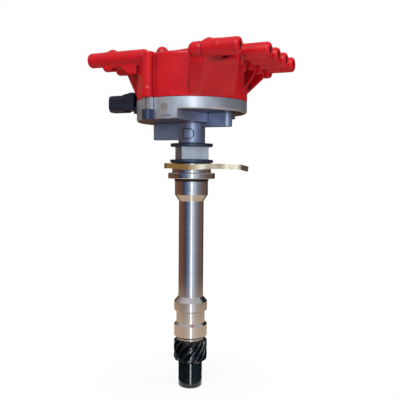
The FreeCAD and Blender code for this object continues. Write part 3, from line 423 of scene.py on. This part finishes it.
def yellow_zinc_finish():
    """Zinc plate under yellow chromate, gold-brown with painted shade at the tines and dark with painted
    shadow at the tip.
    """
    material, tree, output, place = new_material("yellow_chromated_zinc")
    drift = grain(tree, place, 11 * mm, 2.0)
    pale = ramp(tree, drift.outputs["Fac"], [(0.30, "#D8C492"), (0.45, "#E8DEC0"), (0.56, "#F2ECD8"),
                                             (0.66, "#E8DFC4"), (0.78, "#D8C698")])
    straight = add(tree, "ShaderNodeMapping", {"Vector": place, "Rotation": (0, 0, -CLAMP_TURN)})
    along = add(tree, "ShaderNodeSeparateXYZ", {"Vector": straight.outputs[0]}).outputs["X"]
    # Gold-brown towards the tines: partly the chromate's colour, partly painted shade.
    tines_gold_and_shade = mix(tree, between(tree, along, *TINES_FADE, 1.0, 0.0), pale, linear("#86642C"))
    # Painted shadow: the tip goes dark brown.
    colour = mix(tree, between(tree, along, *TIP_SHADOW_FADE), tines_gold_and_shade, linear("#4A4038"))
    fine = grain(tree, place, 0.6 * mm)
    bump = add(tree, "ShaderNodeBump", {"Height": fine.outputs["Fac"], "Strength": 0.3,
                                        "Distance": 0.03 * mm})
    shader = metal(tree, colour, 0.38, bump.outputs["Normal"], metallic=0.6)
    tree.links.new(shader, output.inputs["Surface"])
    return material


yellow_zinc = yellow_zinc_finish()
print("clamp finish", yellow_zinc.name)

# %% [markdown]
# ## Who wears what
#
# Each piece of the frame could be dressed by a line of its own. Instead it gets its finish by the
# name of its slot in the record, so a piece that is added later is dressed without a new line
# here. Only the plug in the bowl's wall, which was pressed in after the wall was skimmed, has a
# duller finish of its own.

# %% Dress the frame
FINISHES = {
    "cast_aluminium": aluminium, "seal_rubber": seal_rubber, "bronze": bronze,
    "bright_steel": bright_steel, "spring_steel": spring_steel, "black_iron": black_iron,
    "black_moulding": black_moulding, "brass": brass, "carbon": carbon,
    "red_moulding": red_moulding, "yellow_zinc_steel": yellow_zinc}
OWN_FINISHES = {"housing_plug": plug_metal}

for part in frame["record"]["subparts"]:
    piece = frame["nodes"][part["node"]]
    piece.data.materials.clear()
    piece.data.materials.append(OWN_FINISHES.get(part["node"], FINISHES[part["material_slot"]]))

# %% [markdown]
# ## The cap's soft edges
#
# A mould can't make a knife edge, so every corner of the cap has a small radius, and light draws
# a thin line along it. The construction model has the true sizes but sharp corners. A bevel could
# round them, but it goes wrong where many small triangles meet. So a copy of the mesh is welded,
# rebuilt from voxels a little under a millimetre wide and smoothed a few times, which rounds each
# edge by about that much and leaves the large forms alone.

# %% Moulded cap
WELD_REACH = 0.002 * mm
CAP_VOXEL = 0.7 * mm
CAP_ROUNDS = 4
CAP_TRIANGLES = 180000


def placed(name, mesh, material, body, slot, *nodes):
    """A finished piece that stands for some nodes of the frame and rides on their body."""
    made = bpy.data.objects.new(name, mesh)
    bpy.context.scene.collection.objects.link(made)
    mesh.materials.clear()
    mesh.materials.append(material)
    mesh.shade_smooth()
    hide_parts(*nodes)
    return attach(made, body)


def softened(source):
    """A copy of a node's mesh with a small radius on every edge."""
    shape = bmesh.new()
    shape.from_mesh(source.data)
    bmesh.ops.remove_doubles(shape, verts=shape.verts, dist=WELD_REACH)
    mesh = bpy.data.meshes.new("welded")
    shape.to_mesh(mesh)
    shape.free()
    rough = bpy.data.objects.new("welded", mesh)
    bpy.context.scene.collection.objects.link(rough)
    voxels = rough.modifiers.new("voxels", "REMESH")
    voxels.mode = "VOXEL"
    voxels.voxel_size = CAP_VOXEL
    smooth = rough.modifiers.new("smooth", "SMOOTH")
    smooth.factor = 0.5
    smooth.iterations = CAP_ROUNDS
    graph = bpy.context.evaluated_depsgraph_get()
    count = sum(len(face.vertices) - 2 for face in rough.evaluated_get(graph).data.polygons)
    fewer = rough.modifiers.new("fewer", "DECIMATE")
    fewer.ratio = min(1.0, CAP_TRIANGLES / count)
    graph = bpy.context.evaluated_depsgraph_get()
    result = bpy.data.meshes.new_from_object(rough.evaluated_get(graph))
    bpy.data.objects.remove(rough)
    return result


moulded_cap = placed("moulded_cap", softened(frame["nodes"]["distributor_cap"]), red_moulding, "housing",
                     "red_moulding", "distributor_cap")
print("cap faces", len(moulded_cap.data.polygons))

# %% [markdown]
# ## The gear's rounded teeth
#
# The gear's teeth wind up to the right, thirteen of them, each with a flat tip and a rounded root
# where the hob left it. One tooth could be modelled and copied round, but the copies would need
# joining. Instead one outline of the whole gear is turned a little at every level and stacked, and
# its radius is held in near both ends to give the chamfers.

# %% Helical gear
TEETH = 13
HELIX = math.radians(36)
ROOT_RADIUS = 11.9 * mm
BORE_RADIUS = 6.2 * mm
TOOTH_POINTS = 16
LEVELS = 28
# In tooth pitches: where the flank ends, from the tooth's middle, and how wide it is.
FLANK_END = 0.37
FLANK_WIDTH = 0.25
# The chamfers: how fast the radius grows from each end, and how far in it starts at the top.
FOOT_SLOPE = 1.5
TOP_SLOPE = 1.1
TOP_CUT = 1.4 * mm


def tooth_radius(turn, tip):
    """The gear's radius at an angle, in tooth pitches: flat tip, smooth flank, round root."""
    off = abs(turn - round(turn))
    share = min(1.0, max(0.0, (FLANK_END - off) / FLANK_WIDTH))
    return ROOT_RADIUS + (tip - ROOT_RADIUS) * share * share * (3 - 2 * share)


def make_gear():
    """Stacks the turned outline between the solid gear's faces, with a bore at both ends."""
    low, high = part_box("drive_gear")
    tip = high.y
    middle = (tip + ROOT_RADIUS) / 2
    count = TEETH * TOOTH_POINTS
    shape = bmesh.new()
    rings = []
    for level in range(LEVELS + 1):
        z = low.z + (high.z - low.z) * level / LEVELS
        held = min(tip, ROOT_RADIUS + (z - low.z) * FOOT_SLOPE, tip - TOP_CUT + (high.z - z) * TOP_SLOPE)
        twist = (z - low.z) * math.tan(HELIX) / middle
        rings.append([])
        for i in range(count):
            angle = math.tau * i / count
            radius = min(held, tooth_radius(i / TOOTH_POINTS, tip))
            rings[-1].append(shape.verts.new((radius * math.cos(angle + twist),
                                              radius * math.sin(angle + twist), z)))
    bores = [[shape.verts.new((BORE_RADIUS * math.cos(math.tau * i / count),
                               BORE_RADIUS * math.sin(math.tau * i / count), z)) for i in range(count)]
             for z in (low.z, high.z)]
    rings = [bores[0]] + rings + [bores[1]]
    for lower, upper in zip(rings, rings[1:]):
        for i in range(count):
            j = (i + 1) % count
            shape.faces.new((lower[i], lower[j], upper[j], upper[i]))
    mesh = bpy.data.meshes.new("smooth_gear")
    shape.to_mesh(mesh)
    shape.free()
    return placed("smooth_gear", mesh, black_iron, "shaft", "black_iron", "drive_gear")


gear = make_gear()
print("gear faces", len(gear.data.polygons))

# %% [markdown]
# ## A white table and sky
#
# The photograph's background is plain white. A very strong lamp could burn a grey table out to
# white, but it would burn the object too. So the table and the sky are white only to the lens,
# to reflections and through clear things, and the light that they give the object is softer. The
# table keeps a faint shadow near the foot of the part.

# %% Floor and backdrop
floor_level = cad_box[0].z
FLOOR_SIZE = 6.0
SHADOW_START = 0.03
SHADOW_REACH = 0.12
SHADOW_WHITE = 0.88
WORLD_LIGHT = 0.5


def mesh_object(name, shape, material):
    """Turns a bmesh into an object with one material."""
    mesh = bpy.data.meshes.new(name)
    shape.to_mesh(mesh)
    shape.free()
    made = bpy.data.objects.new(name, mesh)
    bpy.context.scene.collection.objects.link(made)
    mesh.materials.append(material)
    return made


def seen_directly(tree):
    """1 for camera, glossy and transmission rays."""
    path = add(tree, "ShaderNodeLightPath").outputs
    first = add(tree, "ShaderNodeMath", {0: path["Is Camera Ray"], 1: path["Is Glossy Ray"]},
                operation="MAXIMUM")
    return add(tree, "ShaderNodeMath", {0: first.outputs[0], 1: path["Is Transmission Ray"]},
               operation="MAXIMUM").outputs[0]


def floor_material():
    """White to the eye, with the object's soft shadow near its foot."""
    material, tree, output, place = new_material("white_table")
    away = add(tree, "ShaderNodeVectorMath", {0: place}, operation="LENGTH").outputs["Value"]
    far = between(tree, away, SHADOW_START, SHADOW_REACH, SHADOW_WHITE, 1.0)
    share = add(tree, "ShaderNodeMath", {0: seen_directly(tree), 1: far}, operation="MULTIPLY").outputs[0]
    paper = add(tree, "ShaderNodeBsdfDiffuse", {"Color": linear("#E9E9E9")})
    white = add(tree, "ShaderNodeEmission", {"Color": linear("#FFFFFF"), "Strength": 1.0})
    mixed = add(tree, "ShaderNodeMixShader", {0: share, 1: paper.outputs[0], 2: white.outputs[0]})
    tree.links.new(mixed.outputs[0], output.inputs["Surface"])
    return material


def make_floor():
    """One large square under the part."""
    shape = bmesh.new()
    bmesh.ops.create_grid(shape, x_segments=1, y_segments=1, size=FLOOR_SIZE / 2)
    floor = mesh_object("floor", shape, floor_material())
    floor.location.z = floor_level
    return floor


def make_world():
    """A soft sky that the lens and reflections see as white."""
    world = bpy.data.worlds.new("studio")
    bpy.context.scene.world = world
    world.use_nodes = True
    tree = world.node_tree
    tree.nodes.clear()
    soft = add(tree, "ShaderNodeBackground", {"Color": linear("#F2F4F8"), "Strength": WORLD_LIGHT})
    white = add(tree, "ShaderNodeBackground", {"Color": linear("#FFFFFF"), "Strength": 1.0})
    mixed = add(tree, "ShaderNodeMixShader",
                {0: seen_directly(tree), 1: soft.outputs[0], 2: white.outputs[0]})
    add(tree, "ShaderNodeOutputWorld", {"Surface": mixed.outputs[0]})


floor = make_floor()
make_world()
print(floor.name, "at", round(floor_level, 4))

# %% [markdown]
# ## Cards that only reflections see
#
# Bright metal shows what stands round it, and a white room would wash it out. A studio puts
# tinted cards round such a thing. Separate cards could stand here too, but one drum with a grey
# lid is easier to colour. Its colours change round it and with height. Low down, for the stem, it
# is brown at the sides and blue-grey to the left of the lens. Over that, for the neck, its sides
# are nearly black. Higher still, for the bowl's wall, they are pale to the left and dark to the
# right. The table is tan near the foot, and a short dark sleeve round the gear keeps it black.
# One narrow band is a bright strip light, which draws the white line down the stem.

# %% Reflecting drum
DRUM_RADIUS = 1.1
DRUM_TOP = 0.75
DRUM_LIFT = 1 * mm
DRUM_STEPS = 96
# Bands by their angle from the lens, in degrees: negative is to the left of the lens.
STEM_BANDS = [(-180, "#6E5346"), (-118, "#7C5A48"), (-64, "#6C4638"), (-54, "#2C3650"), (-40, "#56668A"),
              (-22, "#6C7C94"), (-12, "#AEBACA"), (4, "#D2DBE8"), (20, "#D2DAE6"), (30, "#B4C2D4"),
              (44, "#8F8C92"), (72, "#7E7274"), (84, "#745A52"), (116, "#7A6258"), (128, "#3A2C28"),
              (180, "#4A382F")]
NECK_BANDS = [(-180, "#241E20"), (-118, "#221E22"), (-64, "#252838"), (-54, "#2C3650"), (-40, "#5C6E94"),
              (-22, "#7C90B0"), (-12, "#B4C2D4"), (4, "#D6E0EC"), (20, "#D2DCE8"), (34, "#8E9EB8"),
              (60, "#4A556C"), (100, "#2C303C"), (180, "#241E20")]
RIM_BANDS = [(-180, "#6E5346"), (-118, "#94847A"), (-64, "#A09690"), (-40, "#A0A4AE"), (-12, "#AEBACA"),
             (4, "#CAD2DE"), (20, "#C6CEDA"), (40, "#8C94A4"), (64, "#525C6E"), (96, "#2E3038"),
             (180, "#2A2624")]
# The heights at which the drum turns from the stem's bands to the neck's, and then to the rim's.
NECK_ZONE = (0.0, 0.03)
RIM_ZONE = (0.15, 0.175)
STRIP_LIGHT = (0.0, 6.0)
# The strip's strength on the drum and on the sleeve.
STRIP_STRENGTH = (3.0, 14.0)
SLEEVE_RADIUS = 0.02
SLEEVE_HEIGHT = 0.038
SLEEVE_BANDS = [(-180, "#202420"), (-60, "#30342C"), (-20, "#283034"), (2, "#3C5864"), (30, "#5A8098"),
                (70, "#2A3A42"), (180, "#202420")]
TAN_REACH = (0.21, 0.50)
TAN_SHARE = 0.7


def drum_material():
    """Coloured bands in three zones of height, a tan floor, a sleeve, a lid and a bright strip."""
    material, tree, output, place = new_material("studio_cards")
    lens_angle = math.atan2(CAMERA_PLACE.y, CAMERA_PLACE.x)
    turned = add(tree, "ShaderNodeMapping", {"Vector": place, "Rotation": (0, 0, -lens_angle)})
    around = add(tree, "ShaderNodeTexGradient", {"Vector": turned.outputs[0]}, gradient_type="RADIAL")
    stem_bands, neck_bands, rim_bands, sleeve_bands = [
        ramp(tree, around.outputs["Fac"], [(0.5 + angle / 360, code) for angle, code in stops])
        for stops in (STEM_BANDS, NECK_BANDS, RIM_BANDS, SLEEVE_BANDS)]
    height = add(tree, "ShaderNodeSeparateXYZ", {"Vector": place}).outputs["Z"]
    bands = mix(tree, between(tree, height, *NECK_ZONE), stem_bands, neck_bands)
    bands = mix(tree, between(tree, height, *RIM_ZONE), bands, rim_bands)
    flat = add(tree, "ShaderNodeVectorMath", {0: place, 1: (1.0, 1.0, 0.0)}, operation="MULTIPLY")
    reach = add(tree, "ShaderNodeVectorMath", {0: flat.outputs[0]}, operation="LENGTH").outputs["Value"]
    near = between(tree, reach, *TAN_REACH, TAN_SHARE, 0.0)
    tan = mix(tree, near, bands, linear("#E4C8AA"))
    sleeve = steps(tree, SLEEVE_RADIUS * 1.05, reach)
    dark = mix(tree, sleeve, tan, sleeve_bands)
    strip = inside(tree, around.outputs["Fac"], *[0.5 + angle / 360 for angle in STRIP_LIGHT])
    bright = mix(tree, strip, dark, linear("#F4F7FC"))
    lid = steps(tree, height, DRUM_TOP - DRUM_LIFT)
    lit = mix(tree, lid, bright, linear("#B8B4B4"))
    strip_only = add(tree, "ShaderNodeMath", {0: strip, 1: lid}, operation="SUBTRACT", use_clamp=True)
    brightest = between(tree, sleeve, 0.0, 1.0, *STRIP_STRENGTH)
    strength = between(tree, strip_only.outputs[0], 0.0, 1.0, 1.0, brightest)
    glow = add(tree, "ShaderNodeEmission", {"Color": lit, "Strength": strength})
    tree.links.new(glow.outputs[0], output.inputs["Surface"])
    return material


def make_drum():
    """A drum: a short sleeve, a disc out from its foot, a wall up from the disc's edge and a lid."""
    shape = bmesh.new()
    foot = floor_level + DRUM_LIFT
    points = [(SLEEVE_RADIUS, foot + SLEEVE_HEIGHT), (SLEEVE_RADIUS, foot), (DRUM_RADIUS, foot),
              (DRUM_RADIUS, DRUM_TOP), (0, DRUM_TOP)]
    corners = [shape.verts.new((x, 0, z)) for x, z in points]
    edges = [shape.edges.new(pair) for pair in zip(corners, corners[1:])]
    bmesh.ops.spin(shape, geom=corners + edges, cent=(0, 0, 0), axis=(0, 0, 1), angle=math.tau,
                   steps=DRUM_STEPS, use_merge=True)
    drum = mesh_object("studio_cards", shape, drum_material())
    drum.visible_camera = False
    drum.visible_diffuse = False
    drum.visible_shadow = False
    drum.visible_transmission = False
    return drum


drum = make_drum()
print(drum.name, "bands", len(STEM_BANDS), len(NECK_BANDS), len(RIM_BANDS), len(SLEEVE_BANDS))

# %% [markdown]
# ## Two lamps
#
# One lamp alone would leave the side that it doesn't reach dark. A large soft one hangs high, a
# little to the left of the lens, and shapes the cap. A weaker one from the right lifts the
# shadows. It is kept out of reflections, where it would brighten the right side of the rim.

# %% Lamps
LAMP_DISTANCE = 1.0


def lamp(name, bearing, lift, size, power, tint, shine):
    """A square lamp at a bearing from the lens and an elevation, aimed at the flange."""
    angle = math.atan2(CAMERA_PLACE.y, CAMERA_PLACE.x) + math.radians(bearing)
    rise = math.radians(lift)
    offset = Vector((math.cos(angle) * math.cos(rise), math.sin(angle) * math.cos(rise), math.sin(rise)))
    light = bpy.data.lights.new(name, "AREA")
    light.shape = "RECTANGLE"
    light.size = light.size_y = size
    light.energy = power
    light.color = linear(tint)[:3]
    made = bpy.data.objects.new(name, light)
    bpy.context.scene.collection.objects.link(made)
    made.location = offset * LAMP_DISTANCE
    made.rotation_euler = (-offset).to_track_quat("-Z", "Y").to_euler()
    made.visible_glossy = shine
    return made


lamps = [
    lamp("soft_key", -14, 50, 0.6, 7.8, "#FFFFFF", True),
    lamp("soft_fill", 62, 30, 0.5, 5.0, "#F6F8FF", False)]
print("lamps", [light.name for light in lamps])

# %% [markdown]
# ## Last steps
#
# The colours are shown as they are, with the Standard view, because a filmic one would dull the
# red.

# %% View
bpy.context.scene.view_settings.view_transform = "Standard"
